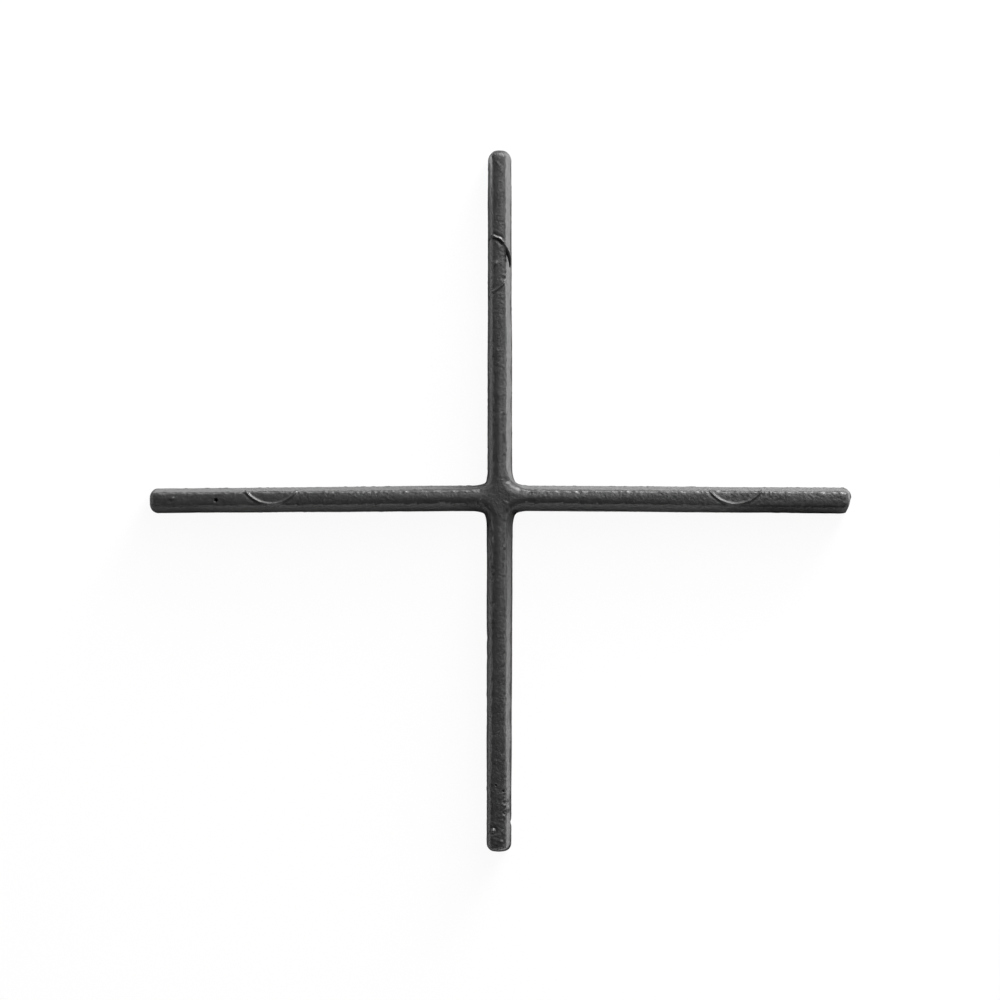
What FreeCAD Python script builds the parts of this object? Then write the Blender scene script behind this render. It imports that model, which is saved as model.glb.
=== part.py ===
import FreeCAD, Part
import math
import os

import Sketcher

# Cross-shaped tile spacer: one moulding of black rubber that lies flat where four tile corners meet.
# Millimetres and degrees. The arms run along X and Y (east is +X, north is +Y), Z points up,
# and the origin is the middle of the hub on the flat underside.
# The underside is the parting face, so every wall leans in from there up to the rounded top.

NODE = "cross_spacer"

# Sizes shared by the whole moulding.
BODY_SIZES = {
    "spacer_height": 3.2,       # underside to top
    "wall_draft": 6.0,          # how far every wall leans in
    "shoulder_radius": 0.24,    # round between the walls and the top
    "flare_radius": 2.5,        # slow curve that leads the side of an arm into a hub corner
    "corner_fill": 0.09,        # how far a hub corner is filled out past a plain round
    "pin_radius": 2.0,          # ejector pins that pushed the moulding off its mould
    "pin_depth": 0.08,          # how far a pin's face sank into the top
    "trim_angle": 20.0,         # lean of the cut where the gate was trimmed off the east tip
    "trim_depth": 0.085,        # how far behind the apex that cut crosses the arm's middle
}

# Each arm: reach from the hub to the apex of its tip, sideways drift of that apex, widths of the
# underside at the hub and at the tip, and the two curves of the tip, at its corners and its end.
ARM_SIZES = {
    "east": {
        "reach": 22.52, "drift": 0.17, "hub_width": 1.63, "tip_width": 1.66,
        "tip_corner": 0.62, "end_curve": 2.5,
    },
    "north": {
        "reach": 22.34, "drift": 0.01, "hub_width": 1.61, "tip_width": 1.50,
        "tip_corner": 0.68, "end_curve": 0.9,
    },
    "west": {
        "reach": 22.48, "drift": 0.17, "hub_width": 1.67, "tip_width": 1.57,
        "tip_corner": 0.53, "end_curve": 2.0,
    },
    "south": {
        "reach": 22.65, "drift": 0.06, "hub_width": 1.67, "tip_width": 1.58,
        "tip_corner": 0.53, "end_curve": 1.8,
    },
}

# The round in each hub corner, by the arm it follows anticlockwise.
CORNER_SIZES = {
    "east": {"corner_radius": 0.42},
    "north": {"corner_radius": 0.17},
    "west": {"corner_radius": 0.28},
    "south": {"corner_radius": 0.38},
}

# The ejector pins, each standing partly on one arm: how far in from the tip, and how far off the axis.
PIN_SIZES = {
    "east": {"pin_inset": 7.47, "pin_aside": 1.70},
    "north": {"pin_inset": 7.62, "pin_aside": 1.25},
    "west": {"pin_inset": 8.02, "pin_aside": 1.52},
}

# Which way each arm points, and the side that its tip drifts to or its pin stands on.
# Seen from the hub, 1 is to the left of the arm and -1 to the right.
OUTWARD = {"east": (1, 0), "north": (0, 1), "west": (-1, 0), "south": (0, -1)}
DRIFT_SIDE = {"east": -1, "north": 1, "west": 1, "south": -1}
PIN_SIDE = {"east": 1, "north": 1, "west": -1}

UP = FreeCAD.Vector(0, 0, 1)
ORIGIN = (-1, 1)
START, END, CENTRE = 1, 2, 3
TOUCH = 1e-6


def add_sizes(doc):
    """Writes every driving size to the sheet, one row each, under an alias of the same name."""
    sizes = dict(BODY_SIZES)
    for table in (ARM_SIZES, CORNER_SIZES, PIN_SIZES):
        for arm, values in table.items():
            for name, value in values.items():
                sizes[f"{arm}_{name}"] = value
    sheet = doc.addObject("Spreadsheet::Sheet", "Sizes")
    for row, (alias, value) in enumerate(sizes.items(), start=1):
        sheet.set(f"A{row}", alias)
        sheet.set(f"B{row}", str(value))
        sheet.setAlias(f"B{row}", alias)
    doc.recompute()
    return sheet


def left_of(direction):
    """The plan direction a quarter turn anticlockwise from this one."""
    return FreeCAD.Vector(-direction.y, direction.x, 0)


def unit(vector):
    return FreeCAD.Vector(vector).normalize()


def bind(sketch, constraint, expression):
    """Adds a dimension to the sketch and ties it to the sheet."""
    index = sketch.addConstraint(constraint)
    sketch.setExpression(f"Constraints[{index}]", expression)


def bind_point(sketch, element, position, point, across, along):
    """Places a point of the sketch by its distances from the origin along X and Y."""
    for kind, value, expression in (("DistanceX", point.x, across), ("DistanceY", point.y, along)):
        ends = (*ORIGIN, element, position) if value >= 0 else (element, position, *ORIGIN)
        bind(sketch, Sketcher.Constraint(kind, *ends, abs(value)), expression)


def new_sketch(body, name):
    """An empty sketch on the body's own XY plane, where the underside lies."""
    sketch = body.newObject("Sketcher::SketchObject", name)
    underside = next(item for item in body.Origin.OriginFeatures if item.Role == "XY_Plane")
    sketch.AttachmentSupport = (underside, [""])
    sketch.MapMode = "FlatFace"
    return sketch


class Outline:
    """A closed chain of edges, added anticlockwise, where each is tangent to the next."""

    def __init__(self, sketch):
        self.sketch = sketch
        self.chain = []

    def line(self, first, last):
        element = self.sketch.addGeometry(Part.LineSegment(first, last))
        self.chain.append((element, START, END))
        return element

    def arc(self, centre, radius, first, last, hollow=False):
        """An arc that bulges outwards, or inwards where hollow, from the first point to the last."""
        begin, end = (last, first) if hollow else (first, last)
        angles = [math.atan2(point.y - centre.y, point.x - centre.x) for point in (begin, end)]
        if angles[1] < angles[0]:
            angles[1] += 2 * math.pi
        circle = Part.Circle(centre, UP, radius)
        element = self.sketch.addGeometry(Part.ArcOfCircle(circle, *angles))
        self.chain.append((element, END, START) if hollow else (element, START, END))
        return element

    def close(self):
        for (one, _, last), (other, first, _) in zip(self.chain, self.chain[1:] + self.chain[:1]):
            self.sketch.addConstraint(Sketcher.Constraint("Tangent", one, last, other, first))


class Arm:
    """One arm in plan: an axis from the hub to its apex, and two circles that its sides touch."""

    def __init__(self, name, sheet):
        self.name = name
        self.sheet = sheet
        outward = FreeCAD.Vector(*OUTWARD[name], 0)
        drift = left_of(outward) * (DRIFT_SIDE[name] * self.size("drift"))
        self.apex = outward * self.size("reach") + drift
        self.axis = unit(self.apex)
        self.hub_radius = self.size("hub_width") / 2
        self.tip_radius = self.size("tip_width") / 2
        self.tip_centre = self.apex - self.axis * self.tip_radius
        self.end_centre = self.apex - self.axis * self.size("end_curve")

    def size(self, name):
        return self.sheet.get(f"{self.name}_{name}")

    def cell(self, name):
        return f"Sizes.{self.name}_{name}"

    def plan_cells(self, along, aside):
        """Expressions for a point's distances along X and Y, given those along and off the arm."""
        return (along, aside) if OUTWARD[self.name][0] else (aside, along)

    def normal(self, side):
        """Outward normal of the arm's side, left (1) or right (-1)."""
        lean = (self.hub_radius - self.tip_radius) / self.tip_centre.Length
        return left_of(self.axis) * (side * math.sqrt(1 - lean**2)) + self.axis * lean

    def on_offset_side(self, side, offset, centre, radius):
        """Where a circle meets the arm's side moved outwards by offset, on the tip's side."""
        normal = self.normal(side)
        run = left_of(normal) * -side
        rise = self.hub_radius + offset - normal.dot(centre)
        return centre + normal * rise + run * math.sqrt(radius**2 - rise**2)

    def tip_round(self, side):
        """Centre of a tip corner's round, which touches the arm's side and the end curve."""
        radius = self.size("tip_corner")
        return self.on_offset_side(side, -radius, self.end_centre, self.size("end_curve") - radius)

    def flare(self, side, flare_radius, corner_centre, corner_radius):
        """Centre of the flare, which touches the arm's side and the hub corner's round."""
        reach = flare_radius - corner_radius
        return self.on_offset_side(side, flare_radius, corner_centre, reach)


def draw_sides_and_tip(outline, arm, right_foot, left_foot):
    """The right side out from the hub, the rounded tip, and the left side back to the hub."""
    sketch = outline.sketch
    radius = arm.size("tip_corner")
    end_radius = arm.size("end_curve")
    right_round, left_round = arm.tip_round(-1), arm.tip_round(1)
    end_right = arm.end_centre + unit(right_round - arm.end_centre) * end_radius
    end_left = arm.end_centre + unit(left_round - arm.end_centre) * end_radius
    side_right = right_round + arm.normal(-1) * radius
    side_left = left_round + arm.normal(1) * radius
    right_side = outline.line(right_foot, side_right)
    right_corner = outline.arc(right_round, radius, side_right, end_right)
    end = outline.arc(arm.end_centre, end_radius, end_right, end_left)
    left_corner = outline.arc(left_round, radius, end_left, side_left)
    left_side = outline.line(side_left, left_foot)

    # Construction lines: the axis, and the circles at the hub and the tip that set the widths.
    hub = FreeCAD.Vector(0, 0, 0)
    axis = sketch.addGeometry(Part.LineSegment(hub, arm.apex), True)
    hub_circle = sketch.addGeometry(Part.Circle(hub, UP, arm.hub_radius), True)
    tip_circle = sketch.addGeometry(Part.Circle(arm.tip_centre, UP, arm.tip_radius), True)
    cells = arm.plan_cells(arm.cell("reach"), arm.cell("drift"))
    sketch.addConstraint(Sketcher.Constraint("Coincident", axis, START, *ORIGIN))
    bind_point(sketch, axis, END, arm.apex, *cells)
    sketch.addConstraint(Sketcher.Constraint("Coincident", hub_circle, CENTRE, *ORIGIN))
    for circle, width in ((hub_circle, "hub_width"), (tip_circle, "tip_width")):
        bind(sketch, Sketcher.Constraint("Diameter", circle, arm.size(width)), arm.cell(width))
        for line in (right_side, left_side):
            sketch.addConstraint(Sketcher.Constraint("Tangent", line, circle))
    for element in (tip_circle, end):
        sketch.addConstraint(Sketcher.Constraint("PointOnObject", element, CENTRE, axis))
        sketch.addConstraint(Sketcher.Constraint("PointOnObject", axis, END, element))
    for corner in (right_corner, left_corner):
        bind(sketch, Sketcher.Constraint("Radius", corner, radius), arm.cell("tip_corner"))
    bind(sketch, Sketcher.Constraint("Radius", end, end_radius), arm.cell("end_curve"))


def draw_outline(body, sheet):
    """The underside's outline: four tapered arms that flow into each other at the hub corners."""
    sketch = new_sketch(body, "Underside")
    outline = Outline(sketch)
    arms = [Arm(name, sheet) for name in OUTWARD]
    flare_radius = sheet.get("flare_radius")

    # Where each hub corner's round is centred, and where its flares end on the arms' sides.
    corners = []
    for arm, following in zip(arms, arms[1:] + arms[:1]):
        radius = arm.size("corner_radius")
        clear = radius + sheet.get("corner_fill")
        outward, beside = (FreeCAD.Vector(*OUTWARD[item.name], 0) for item in (arm, following))
        centre = outward * (following.hub_radius + clear) + beside * (arm.hub_radius + clear)
        flare_in = arm.flare(1, flare_radius, centre, radius)
        flare_out = following.flare(-1, flare_radius, centre, radius)
        foot_in = flare_in - arm.normal(1) * flare_radius
        foot_out = flare_out - following.normal(-1) * flare_radius
        corners.append((arm, following, centre, radius, flare_in, flare_out, foot_in, foot_out))

    for index, corner in enumerate(corners):
        arm, following, centre, radius, flare_in, flare_out, foot_in, foot_out = corner
        right_foot = corners[index - 1][-1]
        draw_sides_and_tip(outline, arm, right_foot, foot_in)
        touch_in = flare_in + unit(centre - flare_in) * flare_radius
        touch_out = flare_out + unit(centre - flare_out) * flare_radius
        first = outline.arc(flare_in, flare_radius, foot_in, touch_in, hollow=True)
        middle = outline.arc(centre, radius, touch_in, touch_out, hollow=True)
        last = outline.arc(flare_out, flare_radius, touch_out, foot_out, hollow=True)
        for flare in (first, last):
            bind(sketch, Sketcher.Constraint("Radius", flare, flare_radius), "Sizes.flare_radius")
        bind(sketch, Sketcher.Constraint("Radius", middle, radius), arm.cell("corner_radius"))
        clear = f"{arm.cell('corner_radius')} + Sizes.corner_fill"
        along = f"{following.cell('hub_width')} / 2 + {clear}"
        aside = f"{arm.cell('hub_width')} / 2 + {clear}"
        bind_point(sketch, middle, CENTRE, centre, *arm.plan_cells(along, aside))
    outline.close()
    return sketch


def raise_moulding(doc, body, outline):
    """Draws the outline up with draft and rounds the shoulders all the way round the top."""
    moulding = body.newObject("PartDesign::Pad", "Moulding")
    moulding.Profile = outline
    moulding.setExpression("Length", "Sizes.spacer_height")
    moulding.setExpression("TaperAngle", "-Sizes.wall_draft")
    outline.Visibility = False
    doc.recompute()
    top = moulding.Shape.BoundBox.ZMax
    rim = [
        f"Edge{number}"
        for number, edge in enumerate(moulding.Shape.Edges, start=1)
        if abs(edge.BoundBox.ZMin - top) < TOUCH
    ]
    shoulder = body.newObject("PartDesign::Fillet", "Shoulder")
    shoulder.Base = (moulding, rim)
    shoulder.setExpression("Radius", "Sizes.shoulder_radius")
    doc.recompute()


def press_pin_marks(doc, body, sheet):
    """The shallow round marks of the ejector pins, each cut off by the sides of its arm."""
    sketch = new_sketch(body, "PinFaces")
    sketch.setExpression("AttachmentOffset.Base.z", "Sizes.spacer_height")
    for name in PIN_SIZES:
        arm = Arm(name, sheet)
        outward = FreeCAD.Vector(*OUTWARD[name], 0)
        aside = left_of(outward) * (PIN_SIDE[name] * arm.size("pin_aside"))
        centre = outward * (arm.size("reach") - arm.size("pin_inset")) + aside
        pin = sketch.addGeometry(Part.Circle(centre, UP, sheet.get("pin_radius")))
        along = f"{arm.cell('reach')} - {arm.cell('pin_inset')}"
        bind_point(sketch, pin, CENTRE, centre, *arm.plan_cells(along, arm.cell("pin_aside")))
        bind(sketch, Sketcher.Constraint("Radius", pin, sheet.get("pin_radius")), "Sizes.pin_radius")
    marks = body.newObject("PartDesign::Pocket", "PinMarks")
    marks.Profile = sketch
    marks.setExpression("Length", "Sizes.pin_depth")
    sketch.Visibility = False
    doc.recompute()


def trim_gate(doc, body, sheet):
    """The slanted cut across the east tip where the gate was trimmed off."""
    arm = Arm("east", sheet)
    lean = math.radians(sheet.get("trim_angle"))
    width = arm.size("tip_width")
    middle = arm.apex - FreeCAD.Vector(sheet.get("trim_depth"), 0, 0)
    along = FreeCAD.Vector(math.sin(lean), math.cos(lean), 0) * width
    away = FreeCAD.Vector(along.y, -along.x, 0)
    corners = [middle - along, middle + along, middle + along + away, middle - along + away]

    sketch = new_sketch(body, "GateTrim")
    sides = [
        sketch.addGeometry(Part.LineSegment(one, other))
        for one, other in zip(corners, corners[1:] + corners[:1])
    ]
    crossing = sketch.addGeometry(Part.Point(middle), True)
    for side, following in zip(sides, sides[1:] + sides[:1]):
        sketch.addConstraint(Sketcher.Constraint("Coincident", side, END, following, START))
    for side, following in zip(sides, sides[1:]):
        sketch.addConstraint(Sketcher.Constraint("Perpendicular", side, following))
    cut, flank = sides[:2]
    reach = f"{arm.cell('reach')} - Sizes.trim_depth"
    sketch.addConstraint(Sketcher.Constraint("Symmetric", cut, START, cut, END, crossing, START))
    bind_point(sketch, crossing, START, middle, reach, arm.cell("drift"))
    bind(sketch, Sketcher.Constraint("Angle", cut, math.pi / 2 - lean), "90 - Sizes.trim_angle")
    bind(sketch, Sketcher.Constraint("Distance", cut, 2 * width), f"2 * {arm.cell('tip_width')}")
    bind(sketch, Sketcher.Constraint("Distance", flank, width), arm.cell("tip_width"))

    trim = body.newObject("PartDesign::Pocket", "GateTrimCut")
    trim.Profile = sketch
    trim.Type = "ThroughAll"
    trim.Midplane = True
    sketch.Visibility = False
    doc.recompute()


def check_document(doc):
    """Stops the build where an object failed or a sketch is left loose."""
    for item in doc.Objects:
        if {"Invalid", "Error"} & set(item.State):
            raise RuntimeError(f"{item.Name} failed: {item.State}")
        if item.TypeId == "Sketcher::SketchObject" and not item.FullyConstrained:
            raise RuntimeError(f"{item.Name} is not fully constrained")


def check_solid(body):
    """Stops the build unless the spacer is one valid solid that each cut made lighter."""
    if body.Shape.isNull() or not body.Shape.isValid() or len(body.Shape.Solids) != 1:
        raise RuntimeError(f"{body.Label} is not one valid solid")
    volumes = [item.Shape.Volume for item in body.Group if item.isDerivedFrom("PartDesign::Feature")]
    if any(later >= earlier for earlier, later in zip(volumes, volumes[1:])):
        raise RuntimeError(f"a feature after the moulding removed nothing: {volumes}")


doc = FreeCAD.newDocument("TileSpacer")
sizes = add_sizes(doc)
spacer = doc.addObject("PartDesign::Body", "Spacer")
spacer.Label = NODE
underside = draw_outline(spacer, sizes)
raise_moulding(doc, spacer, underside)
press_pin_marks(doc, spacer, sizes)
trim_gate(doc, spacer, sizes)
check_document(doc)
check_solid(spacer)

os.makedirs("parts", exist_ok=True)
spacer.Shape.exportStep(f"parts/{NODE}.step")
box = spacer.Shape.BoundBox
print(f"{NODE}: {box.XLength:.2f} x {box.YLength:.2f} x {box.ZLength:.2f} mm,", end=" ")
print(f"{spacer.Shape.Volume:.1f} mm3, {len(spacer.Shape.Faces)} faces")
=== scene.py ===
# Tile spacer: the dressed model. The named lengths are in millimetres, and Blender gets metres.
import math
from collections import namedtuple

import bmesh
import bpy
import numpy as np
from mathutils import Matrix, Vector, noise
from mathutils.geometry import delaunay_2d_cdt


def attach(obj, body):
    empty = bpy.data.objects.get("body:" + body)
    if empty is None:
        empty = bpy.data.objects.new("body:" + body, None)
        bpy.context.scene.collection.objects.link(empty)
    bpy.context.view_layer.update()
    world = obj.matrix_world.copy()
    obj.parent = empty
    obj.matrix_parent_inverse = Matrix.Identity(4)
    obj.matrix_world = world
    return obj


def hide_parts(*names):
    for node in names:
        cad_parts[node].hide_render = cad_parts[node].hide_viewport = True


MM = 0.001

# In the values below, a place is x and y, and a noise field is the size of its bumps, a seed and a
# strength. What sets in gradually has two values: it starts at the first and is complete at the second.

# The moulding, as in the CAD source.
HEIGHT = 3.2
DRAFT_ANGLE = math.radians(6.0)
EAST_TIP = (22.52, -0.17)
TRIM_ANGLE = math.radians(20.0)
TRIM_POINT = (22.435, -0.17)
PIN_RADIUS = 2.0
PIN_DEPTH = 0.08

# Ejector pin marks. Each has its centre and the stretches of its rim: first and last angle in degrees,
# how far outside the pin's circle the flash stands, its height, and the depth of the groove inside it.
PIN_MARKS = (
    (
        (-1.25, 14.88),
        (
            (70, 90, -0.12, 0.110, 0.05),
            (55, 66, -0.05, 0.090, 0.10),
            (42, 52, 0.03, 0.080, 0.10),
            (-8, 42, 0.0, 0.030, 0.0),
            (-76, -40, 0.0, 0.070, 0.0),
        ),
    ),
    (
        (-14.50, 1.59),
        (
            (196, 285, 0.0, 0.065, 0.0),
            (285, 326, 0.0, 0.058, 0.0),
            (326, 345, 0.0, 0.070, 0.0),
        ),
    ),
    (
        (15.05, 1.57),
        (
            (196, 246, 0.0, 0.060, 0.0),
            (246, 266, 0.0, 0.075, 0.0),
            (266, 345, 0.0, 0.055, 0.0),
        ),
    ),
)
PIN_CENTRES = tuple(centre for centre, _ in PIN_MARKS)
NORTH_PIN = PIN_CENTRES[0]

# The burr that the north pin pressed out over the east shoulder: first and last angle, radius and height
# of its crest, and its section as places outside the crest and above it.
BURR_TURNS = (-8, 48)
BURR_RADIUS = 2.04
BURR_CREST = 3.13
BURR_SECTION = ((-0.22, -0.30), (0.0, 0.0), (0.02, -0.06), (0.0, -0.40), (-0.22, -0.55))
# It thins out, moves inwards and sinks at both ends, and its crest is a little ragged.
BURR_STATIONS = 41
BURR_THINNEST, BURR_FULLNESS = 0.1, 0.7
BURR_END_INSET, BURR_END_DROP = 0.07, 0.1
BURR_RAGGED, BURR_BUMPS, BURR_SEED = 0.02, 7.0, 3.0

# Blemishes of the top and shoulders: place, length and width of the spot, turn of its long side in
# degrees, and height, which is below 0 for a pit.
BLEMISHES = (
    (-17.58, -0.36, 0.26, 0.16, -30, -0.015),
    (-20.82, -0.08, 0.12, 0.10, 70, 0.050),
    (-20.86, -0.25, 0.13, 0.08, 0, -0.030),
    (-1.22, -0.47, 0.12, 0.11, 0, 0.080),
    (-0.20, 14.87, 0.17, 0.12, 60, 0.070),
    (-0.08, 9.31, 0.07, 0.07, 0, 0.025),
    (-0.08, 8.49, 0.07, 0.07, 0, 0.025),
    (-0.05, 21.19, 0.26, 0.09, -50, 0.014),
    (0.24, 20.72, 0.22, 0.09, -55, 0.012),
    (0.42, -19.28, 0.10, 0.09, 0, 0.020),
    (0.36, -20.20, 0.10, 0.08, 0, 0.018),
    (-0.37, -21.19, 0.10, 0.10, 0, 0.085),
    (0.22, -21.88, 0.13, 0.08, -15, 0.035),
    (14.78, 0.13, 0.06, 0.06, 0, -0.030),
    (0.84, 1.18, 0.14, 0.12, 0, 0.040),
    (0.56, 1.25, 0.13, 0.11, 0, 0.040),
    (1.03, 0.55, 0.12, 0.10, 0, 0.030),
    (1.42, 0.38, 0.12, 0.10, 0, 0.020),
    (0.45, -0.38, 0.16, 0.12, -40, 0.014),
    (0.60, -0.72, 0.13, 0.09, -40, 0.030),
    (-0.72, 0.72, 0.13, 0.11, 0, 0.025),
    (21.68, 0.32, 0.10, 0.10, 0, 0.025),
    (22.12, -0.28, 0.14, 0.12, 0, -0.015),
    (21.45, -0.20, 0.16, 0.12, 0, 0.012),
    (0.475, -2.73, 0.10, 0.14, 0, 0.040),
    (-22.10, -0.48, 0.10, 0.06, 30, 0.030),
    (-22.24, -0.30, 0.07, 0.06, 0, -0.030),
    (-21.95, -0.62, 0.09, 0.06, -30, -0.030),
    (-0.45, 21.65, 0.09, 0.06, 50, 0.030),
    (-0.52, 21.45, 0.08, 0.06, 0, -0.035),
    (-0.38, 21.30, 0.07, 0.06, 0, 0.025),
)
# Pinholes with steep walls: place, radius, depth.
PINHOLES = (
    (-18.00, -0.19, 0.115, 0.30),
    (-0.18, -18.30, 0.060, 0.12),
    (0.28, -18.68, 0.060, 0.14),
    (0.53, -19.96, 0.085, 0.20),
    (0.53, -19.33, 0.060, 0.12),
)
# Burst bubbles: place, radius and width of the ring that each left, and depth of the ring.
BUBBLES = (
    (-0.37, -21.19, 0.21, 0.07, 0.070),
    (0.44, -19.30, 0.18, 0.06, 0.030),
    (0.46, -19.97, 0.20, 0.06, 0.040),
)
# Dents in the edge: place on the foot of the wall, reach along the edge, depth.
DENTS = (
    (0.78, -20.74, 0.16, 0.070),
    (-0.76, -8.93, 0.20, 0.035),
    (-0.77, -10.2, 0.35, 0.020),
    (15.00, 0.80, 1.50, 0.025),
)
# Slanting ripples near the south tip: where they set in, slant, spacing, height and wander.
RIPPLE_ZONE = (20.2, 21.2)
RIPPLE_SLANT, RIPPLE_SPACING, RIPPLE_HEIGHT = 0.55, 0.36, 0.005
RIPPLE_WANDER = (0.7, 5, 3.0)

# Duller spots with painted shade: place, reach in x and y, and how matt and shaded it is in the middle, up
# to 1.
PAINTED_SHADE_SPOTS = (
    (1.02, -0.94, 0.20, 0.20, 1.0),
    (-0.67, 12.77, 0.08, 0.16, 1.0),
    (-0.55, 22.10, 0.28, 0.22, 0.8),
    (-20.86, -0.26, 0.10, 0.07, 0.7),
    (0.80, 0.78, 0.50, 0.50, 0.25),
    (-0.10, 22.12, 0.60, 0.25, 0.75),
    (0.55, -19.33, 0.05, 0.12, 1.0),
    (0.55, -19.97, 0.10, 0.15, 1.0),
    (-0.80, -1.75, 0.07, 0.16, 0.9),
)
# The south sides of the outer east and west arms and the west tip are matt too, with painted shade: where
# that sets in along the arm and across it, and how matt and shaded the west arm gets.
PAINTED_SHADE_EAST_ALONG, PAINTED_SHADE_EAST_ACROSS = (12.5, 18.0), (-0.1, 0.75)
PAINTED_SHADE_WEST_ALONG, PAINTED_SHADE_WEST_ACROSS, PAINTED_SHADE_WEST = (17.0, 20.0), (0.3, 0.75), 0.6
PAINTED_SHADE_WEST_END = (21.9, 22.3)


# Small helpers


# What the noise is moved by for each seed.
SEED_STEP = (17.3, 5.1, 9.7)
# Powers of bells with a flat middle and steep sides.
STEEP = 6
STEEPER = 8


def between(start, end, share):
    """The value at a share of the way from start to end."""
    return start + (end - start) * share


def smooth(x, low, high):
    """0 below low and 1 above high, with a soft step between them."""
    share = np.clip((x - low) / (high - low), 0.0, 1.0)
    return share * share * (3 - 2 * share)


def bell(away, width, power=2):
    """1 at 0, and fading out past the width on both sides. A higher even power has a flatter middle."""
    return np.exp(-((away / width) ** power))


def wavy(points, size, seed):
    """Smooth noise between about -0.7 and 0.7, with bumps of the given size."""
    shift = Vector([seed * step for step in SEED_STEP])
    return np.array([noise.noise(Vector(point) / size + shift) for point in points])


def waves(points, *fields):
    """The sum of noise fields."""
    return sum(strength * wavy(points, size, seed) for size, seed, strength in fields)


def on_floor(spots):
    """Flat places as points of height 0."""
    return np.column_stack([spots, np.zeros(len(spots))])


def away_from(points, x, y):
    """How far points are from a place, seen from above."""
    return np.hypot(points[:, 0] - x, points[:, 1] - y)


def nearest(spots, others, block=2000):
    """The distance from each place to the nearest of the others, in blocks to save memory."""
    found = np.empty(len(spots))
    for start in range(0, len(spots), block):
        part = spots[start:start + block]
        gap = np.hypot(part[:, None, 0] - others[None, :, 0], part[:, None, 1] - others[None, :, 1])
        found[start:start + block] = gap.min(axis=1)
    return found


def inside(spots, loop):
    """Whether places lie inside a closed loop, by counting crossings."""
    x, y = spots[:, 0], spots[:, 1]
    odd = np.zeros(len(spots), bool)
    for (x0, y0), (x1, y1) in zip(loop, np.roll(loop, -1, 0)):
        if y0 != y1:
            span = (y0 > y) != (y1 > y)
            odd ^= span & (x < (x1 - x0) * (y - y0) / (y1 - y0) + x0)
    return odd


# The outline of the foot


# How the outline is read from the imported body: decimals that tell corners apart, how level the
# underside is, where the east arm's outer half and its tip start, how far from the middle line the tip's
# upper half is clear of the trim, and the length from which a step is a straight side.
CORNER_DECIMALS = 4
LEVEL_WITHIN = 0.001
OUTER_EAST = 15.0
TIP_START = 21.9
TIP_CLEAR = 0.1
STRAIGHT_STEP = 5.0
# Spacing of the points along the outline, and the closer spacing near pin circles and burst bubbles.
SPACING = 0.085
FINE_SPACING = 0.035
FINE_BAND = 0.55
BUBBLE_REACH = 0.65
# Shares and distances too small to count.
ROUNDING = 1e-6


def base_loop(node):
    """The outline of the underside, counter-clockwise: the open rim of the node's lowest triangles."""
    places, ids = {}, []
    for vertex in node.data.vertices:
        key = tuple(round(c / MM, CORNER_DECIMALS) for c in vertex.co)
        ids.append(places.setdefault(key, len(places)))
    spots = {i: key for key, i in places.items()}
    edges = set()
    for face in node.data.polygons:
        corners = [ids[i] for i in face.vertices]
        if all(abs(spots[i][2]) < LEVEL_WITHIN for i in corners):
            edges.update(zip(corners, corners[1:] + corners[:1]))
    following = {a: b for a, b in edges if (b, a) not in edges}
    start = min(following, key=lambda i: spots[i])
    loop = [start]
    while following[loop[-1]] != start:
        loop.append(following[loop[-1]])
    points = np.array([spots[i][:2] for i in loop])
    after = np.roll(points, -1, 0)
    turn = np.sum(points[:, 0] * after[:, 1] - after[:, 0] * points[:, 1])
    return points if turn > 0 else points[::-1]


def with_whole_tip(points):
    """Puts back the east tip that the gate trim took off, as the mirror image of its upper half."""
    along = np.array(EAST_TIP) / np.hypot(*EAST_TIP)
    across = np.array((-along[1], along[0]))
    in_tip = points @ along > TIP_START
    tip = points[in_tip & (points @ across > TIP_CLEAR)]
    tip = tip[np.argsort(tip @ across)]
    mirrored = tip - 2 * np.outer(tip @ across, across)
    kept = points[~in_tip]
    first_above = next(i for i, p in enumerate(kept) if p[0] > OUTER_EAST and p @ across > 0)
    return np.vstack([mirrored[::-1], tip, np.roll(kept, -first_above, 0)])


def tangents(points):
    """The direction of the outline at each point, and the length of the step after it."""
    leg = np.roll(points, -1, 0) - points
    length = np.linalg.norm(leg, axis=1)
    unit = leg / length[:, None]
    before, before_length = np.roll(unit, 1, 0), np.roll(length, 1)
    mixed = before * length[:, None] + unit * before_length[:, None]
    straight_out, straight_in = length > STRAIGHT_STEP, before_length > STRAIGHT_STEP
    mixed[straight_out] = unit[straight_out]
    mixed[straight_in] = before[straight_in]
    mixed /= np.linalg.norm(mixed, axis=1)[:, None]
    return mixed, length


def near_bubble(spot):
    """Whether a place is near a burst bubble."""
    return any(math.hypot(spot[0] - x, spot[1] - y) < BUBBLE_REACH for x, y, _, _, _ in BUBBLES)


def off_circle(spot):
    """How far a place is from the nearest pin circle."""
    return min(abs(math.hypot(spot[0] - x, spot[1] - y) - PIN_RADIUS) for x, y in PIN_CENTRES)


def on_curve(start, start_slope, end, end_slope, t):
    """The place and the direction at share t of a smooth curve from start to end."""
    spot = (
        (2 * t**3 - 3 * t**2 + 1) * start
        + (t**3 - 2 * t**2 + t) * start_slope
        + (-2 * t**3 + 3 * t**2) * end
        + (t**3 - t**2) * end_slope
    )
    slope = (
        (6 * t**2 - 6 * t) * start
        + (3 * t**2 - 4 * t + 1) * start_slope
        + (-6 * t**2 + 6 * t) * end
        + (3 * t**2 - 2 * t) * end_slope
    )
    return spot, slope / np.linalg.norm(slope)


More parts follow.
